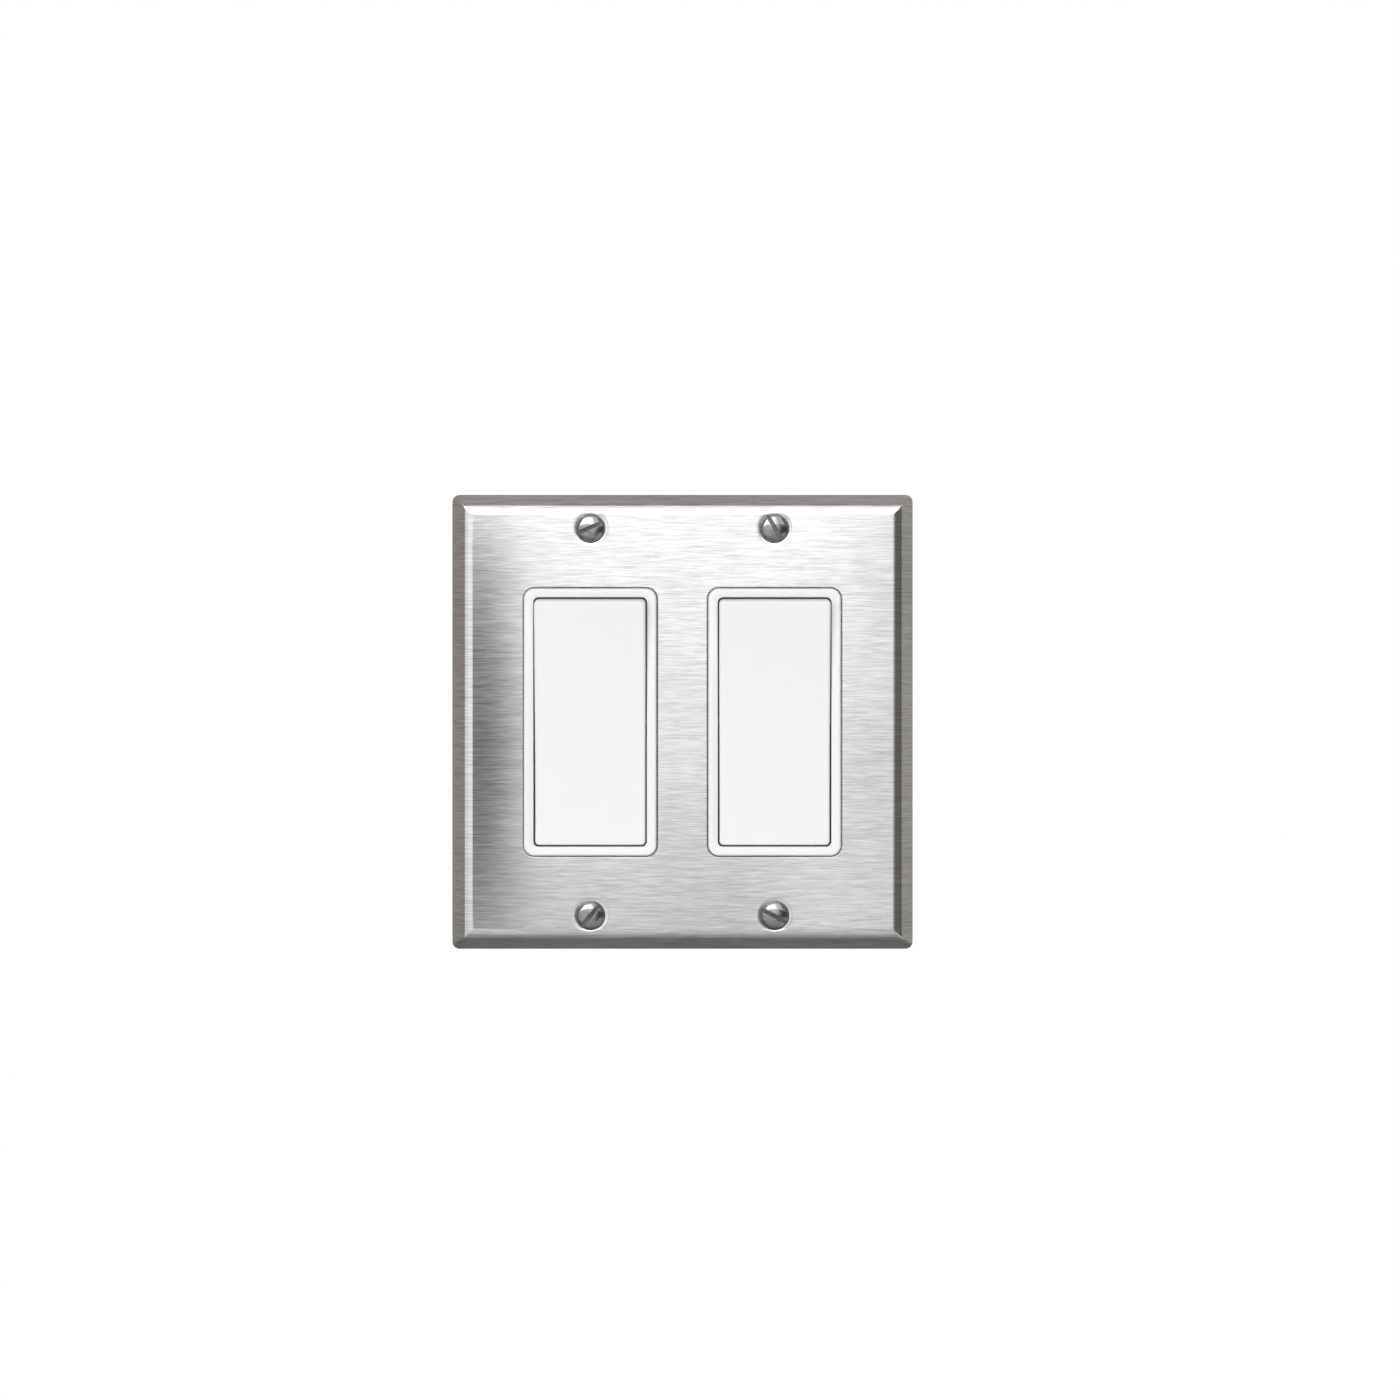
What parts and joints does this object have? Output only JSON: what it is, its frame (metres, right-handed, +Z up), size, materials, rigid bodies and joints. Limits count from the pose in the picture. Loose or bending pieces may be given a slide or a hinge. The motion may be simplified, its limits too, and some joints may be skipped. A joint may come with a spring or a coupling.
{
  "type": "two-gang wall plate with rocker switches",
  "caption": "Brushed stainless wall plate, wide enough for paired wall devices, with white rocker switches that tip see-saw contacts behind the wall.",
  "frame": {"origin": "centre of the plate in the plane of the wall's face, where the plate's rim and the strap ears rest", "axes": "+Y into the wall, so the front faces -Y; +X to the right seen from the front; +Z up"},
  "size_m": [0.116, 0.0335, 0.1142],
  "materials": {
    "stainless_plate": "fine level brushed grain, satin",
    "polished_screw": "polished",
    "white_plastic": "smooth moulded, semi-gloss",
    "body_plastic": "fine moulded texture",
    "acetal": "smooth, slightly waxy",
    "zinc_steel": "zinc plated, mottled",
    "brass": "stamped, satin",
    "silver_contact": "silver alloy, satin",
    "spring_steel": "drawn wire",
    "green_screw": "green dyed plating",
    "fibre": "vulcanised fibre"
  },
  "bodies": {
    "plate_and_switch_bodies": {"wall_plate": "stainless_plate", "top_left_plate_screw": "polished_screw", "top_right_plate_screw": "polished_screw", "bottom_left_plate_screw": "polished_screw", "bottom_right_plate_screw": "polished_screw", "left_face_frame": "white_plastic", "left_strap": "zinc_steel", "left_back_body": "body_plastic", "left_fixed_contact": "silver_contact", "left_load_terminal": "brass", "left_common_terminal": "brass", "left_load_screw": "brass", "left_common_screw": "brass", "left_ground_screw": "green_screw", "left_top_box_screw": "zinc_steel", "left_bottom_box_screw": "zinc_steel", "left_top_screw_washer": "fibre", "left_bottom_screw_washer": "fibre", "right_face_frame": "white_plastic", "right_strap": "zinc_steel", "right_back_body": "body_plastic", "right_fixed_contact": "silver_contact", "right_load_terminal": "brass", "right_common_terminal": "brass", "right_load_screw": "brass", "right_common_screw": "brass", "right_ground_screw": "green_screw", "right_top_box_screw": "zinc_steel", "right_bottom_box_screw": "zinc_steel", "right_top_screw_washer": "fibre", "right_bottom_screw_washer": "fibre"},
    "left_paddle": {"left_rocker": "white_plastic", "left_plunger": "acetal", "left_snap_spring": "spring_steel"},
    "left_contact_lever": {"left_contact_arm": "brass", "left_moving_contact": "silver_contact"},
    "right_paddle": {"right_rocker": "white_plastic", "right_plunger": "acetal", "right_snap_spring": "spring_steel"},
    "right_contact_lever": {"right_contact_arm": "brass", "right_moving_contact": "silver_contact"}
  },
  "joints": [
    {"name": "left_paddle_rock", "type": "hinge", "parent": "plate_and_switch_bodies", "child": "left_paddle", "pos_m": [-0.02302, -0.003, 0], "axis": [1, 0, 0], "range_deg": [-8, 0]},
    {"name": "left_contact_tip", "type": "hinge", "parent": "plate_and_switch_bodies", "child": "left_contact_lever", "pos_m": [-0.02302, 0.0155, 0], "axis": [1, 0, 0], "range_deg": [0, 12]},
    {"name": "right_paddle_rock", "type": "hinge", "parent": "plate_and_switch_bodies", "child": "right_paddle", "pos_m": [0.02302, -0.003, 0], "axis": [1, 0, 0], "range_deg": [-8, 0]},
    {"name": "right_contact_tip", "type": "hinge", "parent": "plate_and_switch_bodies", "child": "right_contact_lever", "pos_m": [0.02302, 0.0155, 0], "axis": [1, 0, 0], "range_deg": [0, 12]}
  ],
  "couplings": [
    {"joint": "left_contact_tip", "follows": "left_paddle_rock", "ratio": -1.5},
    {"joint": "right_contact_tip", "follows": "right_paddle_rock", "ratio": -1.5}
  ]
}
